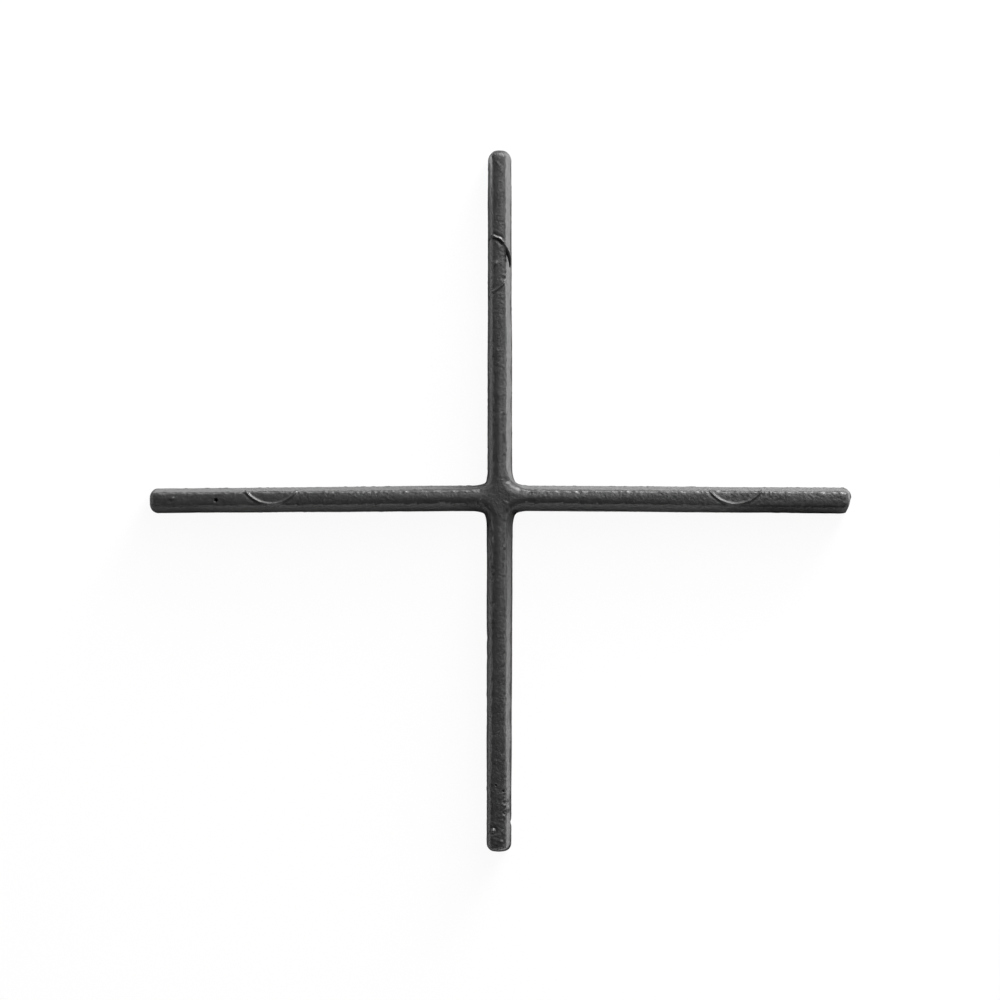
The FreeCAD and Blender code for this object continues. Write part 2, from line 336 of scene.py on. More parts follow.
def resampled(points):
    """The outline at close spacing, closer near pin circles and burst bubbles, with outward normals."""
    direction, length = tangents(points)
    spots, normals = [], []
    for i, start in enumerate(points):
        after = (i + 1) % len(points)
        start_slope, end_slope = direction[i] * length[i], direction[after] * length[i]
        t = 0.0
        while t < 1.0 - ROUNDING:
            spot, slope = on_curve(start, start_slope, points[after], end_slope, t)
            spots.append(spot)
            normals.append((slope[1], -slope[0]))
            spacing = FINE_SPACING if off_circle(spot) < FINE_BAND or near_bubble(spot) else SPACING
            parts = max(1, round(length[i] * (1 - t) / spacing))
            t += (1 - t) / parts
    return np.array(spots), np.array(normals)


# The section


# The section softens towards the hub: shoulder radius, drop of the crowned top, half the width that it
# spans, and the distances from the centre at which the hub's section ends and the tips' section starts.
HUB_SHOULDER, TIP_SHOULDER = 0.34, 0.20
HUB_CROWN, TIP_CROWN = 0.055, 0.018
HUB_HALF, TIP_HALF = 0.82, 0.76
SECTION_REACH = (1.5, 14.0)
# Roughly how far the rim of the top lies inside the foot.
RIM_INSET = 0.5

# The tips' ends and the north-east corner are rounder. That corner and the south arm have less draft.
END_SHOULDER, END_ZONE = 0.10, (21.6, 22.3)
SOUTH_DRAFT, SOUTH_ZONE = math.radians(4.8), (14.0, 19.0)
CORNER, CORNER_REACH = (0.90, 0.85), 0.55
CORNER_SHOULDER, CORNER_DRAFT = 0.34, math.radians(2.5)

# How the shoulder's radius and the lip's width vary along the edge, as noise whose strength is a share.
RAGGED_SHOULDER = (0.20, 21, 0.40)
RAGGED_LIP = (1.1, 3, 0.9)

# The thin lip that the mould's parting line leaves round the foot of the walls.
LIP_WIDTH = 0.055
LIP_HEIGHT = 0.10
LIP_LIMITS = (0.01, 0.12)
# The lip's section: share of its width, share of its height, and tilt of its surface in degrees.
LIP_SECTION = ((0.0, 0.0, 0), (0.06, 0.5, 10), (0.35, 0.85, 40), (0.9, 1.0, 70))
# It is wider along the outer south arm's east side.
SOUTH_LIP_WIDTH, SOUTH_LIP_ALONG, SOUTH_LIP_ACROSS = 0.080, (6.0, 12.0), (-0.6, 0.2)
# It is wider still in the south-east corner of the hub.
LIP_CORNER, LIP_CORNER_REACH, LIP_CORNER_EXTRA = (1.00, -0.92), 0.25, 0.07
# It loses these shares of its width at the west tip and where it faces north.
WEST_THINNING, WEST_END = 0.7, (21.8, 22.3)
NORTH_THINNING, FACING_NORTH = 0.8, (0.1, 0.6)
# The height at which the wall starts.
WALL_FOOT = LIP_HEIGHT + 0.04
# Rows of points up the wall and over the shoulder.
WALL_ROWS = 9
SHOULDER_ROWS = 8

Section = namedtuple("Section", "radius draft crown half slope centre_z centre_in rim_in")


def section_at(spots, uneven=0.0):
    """The shoulder's radius, the wall's draft, the top's crown, the half width that it spans and its slope
    at the rim, the height of the shoulder's centre, and how far that and the rim lie inside the foot."""
    x, y = spots[:, 0], spots[:, 1]
    outer = smooth(np.linalg.norm(spots, axis=1), *SECTION_REACH)
    corner = bell(np.linalg.norm(spots - CORNER, axis=1), CORNER_REACH)
    end = smooth(np.maximum(np.abs(x), np.abs(y)), *END_ZONE)
    radius = between(HUB_SHOULDER, TIP_SHOULDER, outer) + CORNER_SHOULDER * corner + END_SHOULDER * end
    radius = radius * (1 + uneven)
    draft = between(DRAFT_ANGLE, SOUTH_DRAFT, smooth(-y, *SOUTH_ZONE))
    draft = between(draft, CORNER_DRAFT, corner)
    crown = between(HUB_CROWN, TIP_CROWN, outer)
    half = between(HUB_HALF, TIP_HALF, outer)
    slope = np.arctan(2 * crown / (half - RIM_INSET))
    centre_z = HEIGHT - crown - radius * np.cos(slope)
    centre_in = centre_z * np.tan(draft) + radius / np.cos(draft)
    rim_in = centre_in - radius * np.sin(slope)
    return Section(radius, draft, crown, half, slope, centre_z, centre_in, rim_in)


def lip_width(spots, normals):
    """The width of the lip all round the foot."""
    x, y = spots[:, 0], spots[:, 1]
    south = smooth(-y, *SOUTH_LIP_ALONG) * smooth(x, *SOUTH_LIP_ACROSS)
    width = between(LIP_WIDTH, SOUTH_LIP_WIDTH, south)
    width += LIP_CORNER_EXTRA * bell(np.linalg.norm(spots - LIP_CORNER, axis=1), LIP_CORNER_REACH)
    width *= 1 - WEST_THINNING * smooth(-x, *WEST_END)
    width *= 1 - NORTH_THINNING * smooth(normals[:, 1], *FACING_NORTH)
    return np.clip(width * (1 + waves(on_floor(spots), RAGGED_LIP)), *LIP_LIMITS)


def section_rows(spots, normals):
    """(inset, height, tilt) of each row of lip, wall and shoulder. Tilt is how far the row faces up."""
    section = section_at(spots, waves(on_floor(spots), RAGGED_SHOULDER))
    wide = lip_width(spots, normals)
    flat = np.zeros(len(spots))
    rows = []
    for share, up, tilt in LIP_SECTION:
        rows.append((share * wide, flat + up * LIP_HEIGHT, flat + math.radians(tilt)))
    top_z = section.centre_z + section.radius * np.sin(section.draft)
    top_in = top_z * np.tan(section.draft)
    for k in range(WALL_ROWS):
        share = k / WALL_ROWS
        rows.append((between(wide, top_in, share), between(WALL_FOOT, top_z, share), section.draft))
    for k in range(SHOULDER_ROWS + 1):
        tilt = between(section.draft, math.pi / 2 - section.slope, k / SHOULDER_ROWS)
        inset = section.centre_in - section.radius * np.cos(tilt)
        rows.append((inset, section.centre_z + section.radius * np.sin(tilt), tilt))
    return rows


def crown_height(spots, outline):
    """The height of the crowned top, from how far each place lies inside the outline."""
    section = section_at(spots)
    inwards = (nearest(spots, outline) - section.rim_in) / (section.half - section.rim_in)
    return HEIGHT - section.crown * (1 - np.clip(inwards, 0.0, 1.0)) ** 2


# Relief


# How far outside the circle a mark can reach, over how many degrees a stretch fades out at its ends, and
# the share of a stretch below which the rim goes back to the circle.
MARK_REACH = 0.6
STRETCH_FADE = 5.0
STRETCH_LEAST = 0.01
# Places across the rim, below 0 on its inner side, and widths: the recess's wall, the flash, a shallow
# furrow and the groove.
RECESS_WALL = (-0.05, 0.0)
FLASH_WIDTH = 0.07
FURROW_PLACE, FURROW_SHARE = 0.16, 0.30
GROOVE_PLACE, GROOVE_WIDTH = -0.09, 0.085
# The groove is matt and painted black as shade, wholly so from this depth.
GROOVE_SHADE_PLACE, GROOVE_SHADE_WIDTH, GROOVE_SHADE_DEPTH = -0.10, 0.10, 0.15
# How level a surface is where the recess sets in, and the heights where flash and groove set in.
RECESS_FACING = (0.0, 0.5)
FLASH_SETS_IN = (0.8, 2.0)
GROOVE_SETS_IN = (0.12, 0.45)
# Near the top of the wall the flash also rises over the edge, by this share of its height.
RISE_SETS_IN, RISE_SHARE = (2.2, 2.9), 0.9
# How uneven the first mark's flash is: size, seed and share. The other marks take the seeds after it.
FLASH_SIZE, FLASH_SEED, FLASH_UNEVEN = 0.35, 11, 0.4

# How level the surface is where top and wall meet, and where the shoulder ends.
TOP_FACING = (0.05, 0.35)
LEVEL_FACING = (0.85, 0.99)
# Stretches of a noise field: the same at all heights, twice as tall, and drawn out upwards.
UPRIGHT = (1, 1, 0)
TALL = (1, 1, 0.5)
DRAWN_OUT = (1, 1, 0.3)
# The walls: a broad sweep, and a coarser texture that is fainter at the foot and sets in further up.
WALL_SWEEP = (2.6, 1, 0.020)
WALL_TEXTURE = ((0.20, 2, 0.050), (0.50, 9, 0.025))
FOOT_TEXTURE, TEXTURE_SETS_IN = 0.12, (1.4, 2.8)
# Faint level lines from the mould's tool: spacing, height, wander, and where they set in over the foot.
LINE_SPACING, LINE_HEIGHT = 0.85, 0.005
LINE_WANDER = (5.0, 4, 4.0)
LINE_SETS_IN = (0.2, 0.6)
# The top is coarser on the outer east and south arms.
TOP_TEXTURE = ((0.13, 6, 0.010), (0.30, 8, 0.010), (0.75, 7, 0.008))
FINE_TOP, COARSE_TOP = 0.5, 1.3
COARSE_EAST, COARSE_SOUTH = (12.0, 18.0), (12.0, 19.0)
SHOULDER_TEXTURE = ((0.20, 13, 0.035), (0.42, 14, 0.030))


def stretch(turn, first, last):
    """1 between two angles in degrees, fading out past them."""
    middle, half = (first + last) / 2, (last - first) / 2
    away = np.abs((turn - middle + 180) % 360 - 180)
    return 1 - smooth(away, half, half + STRETCH_FADE)


def along_rim(turn, stretches):
    """How far outside its circle a mark's rim stands, its flash's height and its groove's depth."""
    offset, total, flash, groove = (np.zeros(len(turn)) for _ in range(4))
    for first, last, out, high, deep in stretches:
        share = stretch(turn, first, last)
        offset += out * share
        total += share
        flash = np.maximum(flash, high * share)
        groove = np.maximum(groove, deep * share)
    return offset / np.maximum(total, STRETCH_LEAST), flash, groove


def across_rim(from_rim, flash, groove, uneven):
    """How far the surface stands out across a mark's rim: more in the flash, less in furrow and groove."""
    out = flash * uneven * bell(from_rim, FLASH_WIDTH)
    out -= FURROW_SHARE * flash * bell(from_rim - FURROW_PLACE, FLASH_WIDTH)
    out -= groove * bell(from_rim - GROOVE_PLACE, GROOVE_WIDTH, STEEP)
    return out


def press_pin_marks(points, facing):
    """Moves the points for each flat recess, the thin flash round it and the groove beside the flash. It
    gives how matt the grooves make each point, with the painted shade that darkens them."""
    matt_and_painted_shade = np.zeros(len(points))
    for i, ((x, y), stretches) in enumerate(PIN_MARKS):
        away = away_from(points, x, y)
        near = np.flatnonzero(away < PIN_RADIUS + MARK_REACH)
        turn = np.degrees(np.arctan2(points[near, 1] - y, points[near, 0] - x))
        rim, flash, groove = along_rim(turn, stretches)
        from_rim = away[near] - PIN_RADIUS - rim
        level = facing[near, 2]
        recess = PIN_DEPTH * (1 - smooth(from_rim, *RECESS_WALL))
        points[near, 2] -= recess * smooth(level, *RECESS_FACING)
        height = points[near, 2]
        # Painted shade: the groove is darkened as if it lay in shadow.
        groove_painted_shade = bell(from_rim - GROOVE_SHADE_PLACE, GROOVE_SHADE_WIDTH, STEEP) * np.minimum(1, groove / GROOVE_SHADE_DEPTH)
        matt_and_painted_shade[near] = np.maximum(matt_and_painted_shade[near], groove_painted_shade)
        flash = flash * smooth(height, *FLASH_SETS_IN)
        groove = groove * smooth(height, *GROOVE_SETS_IN)
        uneven = 1 + waves(points[near] * UPRIGHT, (FLASH_SIZE, FLASH_SEED + i, FLASH_UNEVEN))
        out = across_rim(from_rim, flash, groove, uneven)
        over_edge = (1 - level) * smooth(height, *RISE_SETS_IN)
        points[near] += facing[near] * out[:, None]
        points[near, 2] += RISE_SHARE * np.maximum(out, 0) * over_edge
    return matt_and_painted_shade


def painted_shade_and_matt_share(points):
    """1 where the rubber is matt and painted deep black as shade, and 0 where it has its usual satin."""
    x, y = points[:, 0], points[:, 1]
    # Painted shade: these zones, the spots and the pinholes are darkened where shadow falls.
    share = smooth(x, *PAINTED_SHADE_EAST_ALONG) * smooth(-y, *PAINTED_SHADE_EAST_ACROSS)
    share = np.maximum(share, PAINTED_SHADE_WEST * smooth(-x, *PAINTED_SHADE_WEST_ALONG) * smooth(-y, *PAINTED_SHADE_WEST_ACROSS))
    share = np.maximum(share, PAINTED_SHADE_WEST * smooth(-x, *PAINTED_SHADE_WEST_END))
    for spot_x, spot_y, wide, high, most in PAINTED_SHADE_SPOTS:
        away = ((x - spot_x) / wide) ** 2 + ((y - spot_y) / high) ** 2
        share = np.maximum(share, most * bell(away, 1.0))
    for hole_x, hole_y, radius, _ in PINHOLES:
        share = np.maximum(share, bell(away_from(points, hole_x, hole_y), radius, STEEPER))
    return share


def blemishes(points):
    """Pimples and pits, pinholes, the rings of burst bubbles and the ripples near the south tip."""
    rise = np.zeros(len(points))
    for x, y, length, width, turn, high in BLEMISHES:
        cosine, sine = math.cos(math.radians(turn)), math.sin(math.radians(turn))
        dx, dy = points[:, 0] - x, points[:, 1] - y
        along, across = (dx * cosine + dy * sine) / length, (dy * cosine - dx * sine) / width
        rise += high * np.exp(-(along * along + across * across))
    for x, y, radius, deep in PINHOLES:
        rise -= deep * bell(away_from(points, x, y), radius, STEEPER)
    for x, y, radius, width, deep in BUBBLES:
        rise -= deep * bell(away_from(points, x, y) - radius, width)
    slanting = points[:, 1] + RIPPLE_SLANT * points[:, 0]
    ripples = np.sin(2 * math.pi * slanting / RIPPLE_SPACING + waves(points, RIPPLE_WANDER))
    return rise + RIPPLE_HEIGHT * smooth(-points[:, 1], *RIPPLE_ZONE) * ripples


def wall_relief(points, wall):
    """The walls' sweep, texture and tool lines."""
    height = points[:, 2]
    rough = wall * between(FOOT_TEXTURE, 1.0, smooth(height, *TEXTURE_SETS_IN))
    rise = waves(points * UPRIGHT, WALL_SWEEP) * wall
    rise += waves(points * TALL, *WALL_TEXTURE) * rough
    lines = np.sin(2 * math.pi * height / LINE_SPACING + waves(points * DRAWN_OUT, LINE_WANDER))
    return rise + LINE_HEIGHT * lines * wall * smooth(height, *LINE_SETS_IN)


def relief(points, facing):
    """How far each point moves along its normal. The top's blemishes fade out down the walls."""
    top = smooth(facing[:, 2], *TOP_FACING)
    shoulder = top * (1 - smooth(facing[:, 2], *LEVEL_FACING))
    outer = np.maximum(smooth(points[:, 0], *COARSE_EAST), smooth(-points[:, 1], *COARSE_SOUTH))
    rise = wall_relief(points, 1 - top)
    rise += waves(points, *TOP_TEXTURE) * top * between(FINE_TOP, COARSE_TOP, outer)
    rise += waves(points, *SHOULDER_TEXTURE) * shoulder
    for x, y, reach, deep in DENTS:
        rise -= deep * bell(away_from(points, x, y), reach)
    return rise + blemishes(points) * top


# The mesh


# The mesh of the top is a jittered grid: spacing, jitter, seed, and how near it comes to the rim and to
# the pin circles.
TOP_SPACING = 0.060
TOP_JITTER = 0.12 * TOP_SPACING
TOP_SEED = 7
RIM_GAP = 0.03
CIRCLE_GAP = 0.32
# It spans the whole cross this far north and south of the centre, and only the two arms past that.
HUB_BAND = 2.2
ARM_HALF = 0.9
# Rings along the pin circles: distances outside the circle, spacing, and the least angle at the seam.
RING_STEPS = (-0.20, -0.15, -0.11, -0.075, -0.04, -0.01, 0.02, 0.05, 0.085, 0.12, 0.16, 0.20, 0.25, 0.30)
RING_SPACING, RING_SEAM = 0.045, 0.01
# Rings round the pinholes: shares of the hole's radius, spacing, seam, and the share where the grid ends.
HOLE_STEPS = (0.35, 0.65, 0.82, 0.92, 1.0, 1.08, 1.2, 1.45)
HOLE_SPACING, HOLE_SEAM = 0.03, 0.1
HOLE_CLEARANCE = 1.7
# The widest step between two points of a ring, in radians.
WIDEST_TURN = 1.0
# The triangulation keeps only what is inside the rim.
INSIDE_ONLY = 1
# How near the gate trim's plane a point counts as on it.
ON_PLANE = 1e-5


def surface_points(spots, normals):
    """Every point of lip, wall and shoulder row by row, with its normal."""
    points, directions = [], []
    for inset, z, tilt in section_rows(spots, normals):
        points.append(np.column_stack([spots - normals * inset[:, None], z]))
        directions.append(np.column_stack([normals * np.cos(tilt)[:, None], np.sin(tilt)]))
    return points, directions


def bands(first, size, rows):
    """The faces between closed rows of as many points each, numbered row by row from first."""
    faces = []
    for row in range(first, first + (rows - 1) * size, size):
        for i in range(size):
            j = (i + 1) % size
            faces.append((row + i, row + j, row + size + j, row + size + i))
    return faces


def hexagonal_grid(rim):
    """A jittered grid over the hub and the four arms."""
    rng = np.random.default_rng(TOP_SEED)
    low, high = rim.min(0), rim.max(0)
    spots = []
    for k, y in enumerate(np.arange(low[1], high[1], TOP_SPACING * math.sqrt(3) / 2)):
        ends = (low[0], high[0]) if abs(y) < HUB_BAND else (-ARM_HALF, ARM_HALF)
        xs = np.arange(*ends, TOP_SPACING) + (TOP_SPACING / 2 if k % 2 else 0)
        spots.append(np.column_stack([xs, np.full_like(xs, y)]))
    grid = np.vstack(spots)
    grid += rng.uniform(-TOP_JITTER, TOP_JITTER, grid.shape)
    return grid


def ring(x, y, radius, spacing, seam):
    """Places round a circle, with at least the seam's angle between the last one and the first."""
    turns = np.arange(0, 2 * math.pi - seam, min(WIDEST_TURN, spacing / radius))
    return np.column_stack([x + radius * np.cos(turns), y + radius * np.sin(turns)])


def top_spots(rim):
    """Places for the top's points: the grid, and rings along the pin circles and round the pinholes."""
    grid = hexagonal_grid(rim)
    kept = np.array([off_circle(spot) for spot in grid]) > CIRCLE_GAP
    rings = []
    for x, y in PIN_CENTRES:
        for step in RING_STEPS:
            rings.append(ring(x, y, PIN_RADIUS + step, RING_SPACING, RING_SEAM))
    for x, y, radius, _ in PINHOLES:
        kept &= away_from(grid, x, y) > HOLE_CLEARANCE * radius
        rings.append(np.array([(x, y)]))
        for share in HOLE_STEPS:
            rings.append(ring(x, y, share * radius, HOLE_SPACING, HOLE_SEAM))
    return np.vstack([grid[kept]] + rings)


def top_fill(rim, rim_first, inner_first):
    """The places inside the rim and the triangles between them. The faces number the rim's points from
    rim_first and the places inside it from inner_first."""
    spots = top_spots(rim)
    spots = spots[inside(spots, rim)]
    spots = spots[nearest(spots, rim) > RIM_GAP]
    seeds = [Vector(spot) for spot in rim] + [Vector(spot) for spot in spots]
    edges = [(i, (i + 1) % len(rim)) for i in range(len(rim))]
    corners, _, faces, origins, _, _ = delaunay_2d_cdt(seeds, edges, [], INSIDE_ONLY, ROUNDING)
    numbers, inner = [], []
    for corner, origin in zip(corners, origins):
        if origin and origin[0] < len(rim):
            numbers.append(rim_first + origin[0])
        else:
            numbers.append(inner_first + len(inner))
            inner.append(corner[:])
    return np.array(inner), [tuple(numbers[i] for i in face) for face in faces]


def burr(first):
    """The burr as a closed sliver whose points are numbered from first."""
    x, y = NORTH_PIN
    turns = np.radians(np.linspace(*BURR_TURNS, BURR_STATIONS))
    points = []
    for k, turn in enumerate(turns):
        share = between(BURR_THINNEST, 1.0, math.sin(math.pi * k / (len(turns) - 1)) ** BURR_FULLNESS)
        ragged = BURR_RAGGED * noise.noise(Vector((BURR_BUMPS * turn, BURR_SEED, 0.0)))
        crest = BURR_CREST - BURR_END_DROP * (1 - share)
        for out, up in BURR_SECTION:
            radius = BURR_RADIUS - BURR_END_INSET * (1 - share) + out * share + ragged
            points.append((x + radius * math.cos(turn), y + radius * math.sin(turn), crest + up * share))
    size = len(BURR_SECTION)
    last = first + len(points) - size
    ends = [tuple(reversed(range(first, first + size))), tuple(range(last, last + size))]
    return np.array(points), bands(first, size, len(turns)) + ends


def build_mesh(node):
    """Points, faces, the number of points in the outline, and how matt each point is and how much painted
    shade it gets.
    """
    spots, normals = resampled(with_whole_tip(base_loop(node)))
    count = len(spots)
    rows, directions = surface_points(spots, normals)
    inner, top_faces = top_fill(rows[-1][:, :2], (len(rows) - 1) * count, len(rows) * count)
    points = np.vstack(rows + [np.column_stack([inner, crown_height(inner, spots)])])
    facing = np.vstack(directions + [np.tile((0.0, 0.0, 1.0), (len(inner), 1))])
    matt_and_painted_shade = press_pin_marks(points, facing)
    matt_and_painted_shade = np.maximum(matt_and_painted_shade, painted_shade_and_matt_share(points))
    points = points + facing * relief(points, facing)[:, None]
    points[:, 2] = np.maximum(points[:, 2], 0.0)
    burr_points, burr_faces = burr(len(points))
    # The whole burr is matt and painted black as shade.
    matt_and_painted_shade = np.concatenate([matt_and_painted_shade, np.ones(len(burr_points))])
    faces = bands(0, count, len(rows)) + top_faces + burr_faces
    return np.vstack([points, burr_points]), faces, count, matt_and_painted_shade


def flat_and_sharp(face):
    """Shades a face flat and its edges sharp."""
    face.smooth = False
    for edge in face.edges:
        edge.smooth = False


def trim_tip(bm):
    """Cuts off the east tip along the gate trim and closes the cut with a flat face."""
    outward = Vector((math.cos(TRIM_ANGLE), -math.sin(TRIM_ANGLE), 0))
    place = Vector((TRIM_POINT[0] * MM, TRIM_POINT[1] * MM, 0))
    whole = bm.verts[:] + bm.edges[:] + bm.faces[:]
    cut = bmesh.ops.bisect_plane(
        bm, geom=whole, dist=ON_PLANE * MM, plane_co=place, plane_no=outward, clear_outer=True
    )
    rim = [edge for edge in cut["geom_cut"] if isinstance(edge, bmesh.types.BMEdge)]
    for face in bmesh.ops.edgenet_fill(bm, edges=rim)["faces"]:
        flat_and_sharp(face)


def put_mesh(name, points, faces, count, matt_and_painted_shade):
    """The piece: underside closed, east tip trimmed, and flat faces set off by sharp edges."""
    mesh = bpy.data.meshes.new(name)
    mesh.from_pydata((points * MM).tolist(), [], faces)
    # The mask that makes the rubber matt and paints shade over it.
    mesh.attributes.new("matt_and_painted_shade", "FLOAT", "POINT").data.foreach_set("value", matt_and_painted_shade)
    bm = bmesh.new()
    bm.from_mesh(mesh)
    for face in bm.faces:
        face.smooth = True
    bm.verts.ensure_lookup_table()
    flat_and_sharp(bm.faces.new([bm.verts[i] for i in reversed(range(count))]))
    trim_tip(bm)
    bmesh.ops.recalc_face_normals(bm, faces=bm.faces[:])
    bm.to_mesh(mesh)
    bm.free()
    piece = bpy.data.objects.new(name, mesh)
    bpy.context.scene.collection.objects.link(piece)
    return piece


# Materials


# The rubber's reflectance: sizes and ranges of its mottle and clouds, and the dust on it.
MOTTLE_SIZE, MOTTLE_SHADE = 0.22, (0.014, 0.028)
CLOUD_SIZE, CLOUD_SHADE = 1.6, (0.0, 0.008)
DUST_SPACING, DUST_EDGE, DUST_SKIPPED, DUST_SHADE = 0.55, (0.05, 0.11), 0.72, 0.07
# Its roughness. Where it is matt, a share of the reflectance is left as painted shade and some roughness
# is added.
SATIN_SIZE, SATIN_ROUGHNESS = 0.35, (0.30, 0.42)
PAINTED_SHADE_KEPT, MATT_ROUGHNESS = 0.15, 0.55
# The fine relief of its skin, and the share of it that a finer grain adds.
SKIN_SIZE, SKIN_DEPTH = 0.16, 0.018
GRAIN_SIZE, GRAIN_SHARE = 0.07, 0.4
# Reflectance of the floor, and the share and strength of the even white that the camera sees over it.
FLOOR_GREY = 0.8
EVEN_SHARE, EVEN_WHITE = 0.92, 1.02


def add_node(tree, kind, **settings):
    """A node, with its properties by name and its inputs by their names with spaces as underscores."""
    node = tree.nodes.new(kind)
    for name, value in settings.items():
        if hasattr(node, name):
            setattr(node, name, value)
        else:
            node.inputs[name.replace("_", " ")].default_value = value
    return node


def noise_field(tree, place, size, detail=2.0):
    """Noise from 0 to 1 with blotches of the given size in millimetres."""
    node = add_node(tree, "ShaderNodeTexNoise", Scale=1 / size, Detail=detail, Roughness=0.55)
    tree.links.new(place, node.inputs["Vector"])
    return node.outputs["Fac"]


def ranged(tree, source, low, high, start=0.25, end=0.75):
    """Maps what a field has between start and end to the range from low to high."""
    node = add_node(tree, "ShaderNodeMapRange")
    for name, value in (("From Min", start), ("From Max", end), ("To Min", low), ("To Max", high)):
        node.inputs[name].default_value = value
    tree.links.new(source, node.inputs["Value"])
    return node.outputs["Result"]


def combine(tree, operation, *sources):
    """A sum, product or comparison of fields and numbers."""
    node = add_node(tree, "ShaderNodeMath", operation=operation)
    for i, source in enumerate(sources):
        if isinstance(source, (int, float)):
            node.inputs[i].default_value = source
        else:
            tree.links.new(source, node.inputs[i])
    return node.outputs[0]


def dust(tree, place):
    """Sparse pale specks: 1 in a speck and 0 elsewhere."""
    node = add_node(tree, "ShaderNodeTexVoronoi", Scale=1 / DUST_SPACING)
    tree.links.new(place, node.inputs["Vector"])
    speck = ranged(tree, node.outputs["Distance"], 1.0, 0.0, *DUST_EDGE)
    chosen = combine(tree, "GREATER_THAN", node.outputs["Color"], DUST_SKIPPED)
    return combine(tree, "MULTIPLY", speck, chosen)


def rubber_shade(tree, place, matt_and_painted_shade):
    """The reflectance: mottled and clouded, with a little dust, and darkened with painted shade where the
    rubber is matt.
    """
    mottle = ranged(tree, noise_field(tree, place, MOTTLE_SIZE, detail=3.0), *MOTTLE_SHADE)
    cloud = ranged(tree, noise_field(tree, place, CLOUD_SIZE), *CLOUD_SHADE)
    dusty = combine(tree, "MULTIPLY", dust(tree, place), DUST_SHADE)
    shade = combine(tree, "ADD", combine(tree, "ADD", mottle, cloud), dusty)
    # Painted shade: the reflectance is darkened where the mask is high.
    return combine(tree, "MULTIPLY", shade, ranged(tree, matt_and_painted_shade, 1.0, PAINTED_SHADE_KEPT, 0.0, 1.0))


def rubber_skin(tree, place):
    """The finely grained skin, as a bump."""
    grain = noise_field(tree, place, GRAIN_SIZE, detail=1.0)
    skin = noise_field(tree, place, SKIN_SIZE, detail=1.0)
    height = combine(tree, "ADD", combine(tree, "MULTIPLY", grain, GRAIN_SHARE), skin)
    bump = add_node(tree, "ShaderNodeBump", Strength=1.0, Distance=SKIN_DEPTH * MM)
    tree.links.new(height, bump.inputs["Height"])
    return bump.outputs[0]


def rubber():
    """Black rubber with a satin moulded skin."""
    material = bpy.data.materials.new("black_rubber")
    material.use_nodes = True
    tree = material.node_tree
    shader = tree.nodes["Principled BSDF"]
    coordinates = add_node(tree, "ShaderNodeTexCoord")
    scaled = add_node(tree, "ShaderNodeVectorMath", operation="SCALE", Scale=1 / MM)
    tree.links.new(coordinates.outputs["Object"], scaled.inputs[0])
    place = scaled.outputs[0]
    # The mask of matt rubber and painted shade.
    matt_and_painted_shade = add_node(tree, "ShaderNodeAttribute", attribute_name="matt_and_painted_shade").outputs["Fac"]

    shade = rubber_shade(tree, place, matt_and_painted_shade)
    tint = add_node(tree, "ShaderNodeCombineColor")
    for channel in ("Red", "Green", "Blue"):
        tree.links.new(shade, tint.inputs[channel])
    tree.links.new(tint.outputs[0], shader.inputs["Base Color"])

    satin = ranged(tree, noise_field(tree, place, SATIN_SIZE), *SATIN_ROUGHNESS)
    rough = combine(tree, "ADD", satin, combine(tree, "MULTIPLY", matt_and_painted_shade, MATT_ROUGHNESS))
    tree.links.new(rough, shader.inputs["Roughness"])
    tree.links.new(rubber_skin(tree, place), shader.inputs["Normal"])
    return material


def camera_share(tree, most):
    """The given share for rays from the camera, and nothing for all others."""
    path = add_node(tree, "ShaderNodeLightPath")
    return combine(tree, "MULTIPLY", path.outputs["Is Camera Ray"], most)


def floor_material():
    """A pale diffuse floor. The camera sees it nearly evenly lit, as on the photo."""
    material = bpy.data.materials.new("pale_floor")
    material.use_nodes = True
    tree = material.node_tree
    tree.nodes.clear()
    diffuse = add_node(tree, "ShaderNodeBsdfDiffuse", Color=(FLOOR_GREY, FLOOR_GREY, FLOOR_GREY, 1))
    glow = add_node(tree, "ShaderNodeEmission", Strength=EVEN_WHITE)
    mix = add_node(tree, "ShaderNodeMixShader")
    output = add_node(tree, "ShaderNodeOutputMaterial")
    tree.links.new(camera_share(tree, EVEN_SHARE), mix.inputs["Fac"])
    tree.links.new(diffuse.outputs[0], mix.inputs[1])
    tree.links.new(glow.outputs[0], mix.inputs[2])
    tree.links.new(mix.outputs[0], output.inputs["Surface"])
    return material


# Stage


# Half the side of the floor, and how far it lies under the foot.
FLOOR_HALF = 1500.0
FLOOR_GAP = 0.02
# The little light that comes from all round.
AMBIENT = 0.01

# The camera: high over the hub, a little to the south-east, framed on 64.1 mm.
VIEW_WIDTH = 64.1
VIEW_CENTRE = (0.01, -0.12)
CAMERA_HEIGHT = 350.0
CAMERA_ASIDE = (7.5, -7.5)
CAMERA_RANGE = (10.0, 5000.0)
SENSOR = 36.0

# Soft lights round the object: name, compass bearing from +Y towards +X, elevation, watts.
LIGHT_DISTANCE = 220.0
LIGHT_SIZE = 110.0
SOFT_LIGHTS = (
    ("key_low", 30, 14, 0.73),
    ("key_middle", 30, 36, 0.24),
    ("key_high", 30, 60, 0.13),
    ("north_low", 0, 14, 0.20),
    ("east_low", 90, 14, 0.10),
    ("east_high", 60, 60, 0.05),
    ("south_low", 180, 14, 0.08),
    ("west_low", 270, 14, 0.07),
    ("west_high", 315, 36, 0.05),
)


def add_floor():
    """A pale square just under the foot."""
    half = FLOOR_HALF * MM
    corners = [(-half, -half, 0), (half, -half, 0), (half, half, 0), (-half, half, 0)]
    mesh = bpy.data.meshes.new("floor")
    mesh.from_pydata(corners, [], [(0, 1, 2, 3)])
    floor = bpy.data.objects.new("floor", mesh)
    floor.location.z = -FLOOR_GAP * MM
    bpy.context.scene.collection.objects.link(floor)
    mesh.materials.append(floor_material())


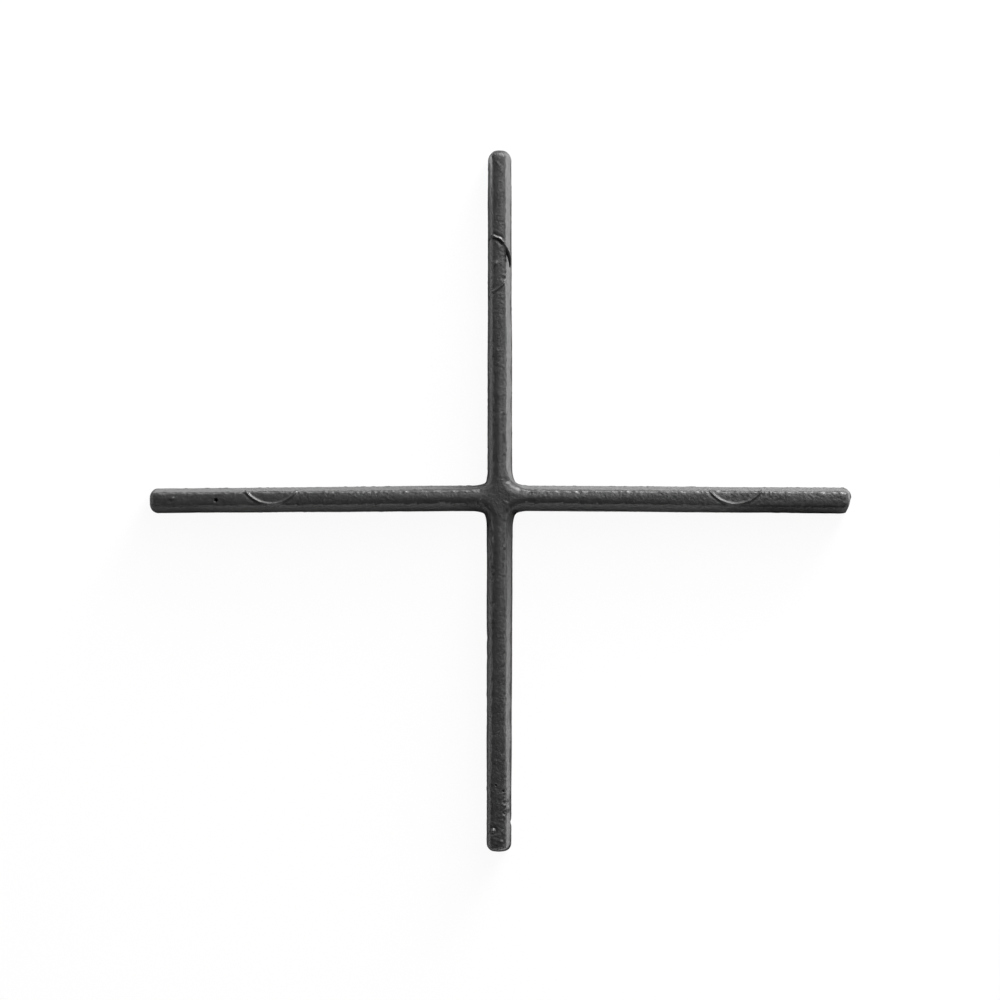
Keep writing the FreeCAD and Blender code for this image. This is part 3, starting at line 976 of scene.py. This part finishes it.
def add_light(name, bearing, elevation, watts):
    """A disk of light that faces the hub and that the camera doesn't see."""
    data = bpy.data.lights.new(name, "AREA")
    data.shape = "DISK"
    data.size = LIGHT_SIZE * MM
    data.energy = watts
    lamp = bpy.data.objects.new(name, data)
    turn, rise = math.radians(bearing), math.radians(elevation)
    away = Vector((math.sin(turn) * math.cos(rise), math.cos(turn) * math.cos(rise), math.sin(rise)))
    lamp.location = away * LIGHT_DISTANCE * MM
    lamp.rotation_mode = "QUATERNION"
    lamp.rotation_quaternion = away.to_track_quat("Z", "Y")
    lamp.visible_camera = False
    bpy.context.scene.collection.objects.link(lamp)


def add_world():
    """Almost no light from the surroundings. The camera sees them as pale as the floor."""
    world = bpy.data.worlds.new("studio")
    world.use_nodes = True
    tree = world.node_tree
    background = tree.nodes["Background"]
    background.inputs["Color"].default_value = (1, 1, 1, 1)
    strength = combine(tree, "ADD", camera_share(tree, 1.0), AMBIENT)
    tree.links.new(strength, background.inputs["Strength"])
    bpy.context.scene.world = world


def add_camera():
    """The photo's view: aimed at the hub, with the north arm pointing up."""
    data = bpy.data.cameras.new("camera")
    data.sensor_width = SENSOR
    data.lens = SENSOR * CAMERA_HEIGHT / VIEW_WIDTH
    data.clip_start, data.clip_end = (distance * MM for distance in CAMERA_RANGE)
    camera = bpy.data.objects.new("camera", data)
    target = Vector((*VIEW_CENTRE, 0)) * MM
    camera.location = target + Vector((*CAMERA_ASIDE, CAMERA_HEIGHT)) * MM
    back = (camera.location - target).normalized()
    right = Vector((0, 1, 0)).cross(back).normalized()
    camera.rotation_mode = "QUATERNION"
    camera.rotation_quaternion = Matrix((right, back.cross(right), back)).transposed().to_quaternion()
    bpy.context.scene.collection.objects.link(camera)
    bpy.context.scene.camera = camera


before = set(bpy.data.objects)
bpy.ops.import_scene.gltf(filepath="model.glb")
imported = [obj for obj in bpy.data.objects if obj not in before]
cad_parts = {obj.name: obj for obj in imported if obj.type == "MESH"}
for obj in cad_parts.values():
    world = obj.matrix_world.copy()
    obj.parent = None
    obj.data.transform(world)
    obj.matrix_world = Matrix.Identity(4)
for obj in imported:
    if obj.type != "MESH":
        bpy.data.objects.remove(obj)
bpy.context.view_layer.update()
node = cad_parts["cross_spacer"]

piece = put_mesh("spacer_body", *build_mesh(node))
piece.data.materials.append(rubber())
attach(piece, "root")
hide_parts("cross_spacer")

add_floor()
for light in SOFT_LIGHTS:
    add_light(*light)
add_world()
add_camera()
bpy.context.scene.view_settings.view_transform = "Standard"
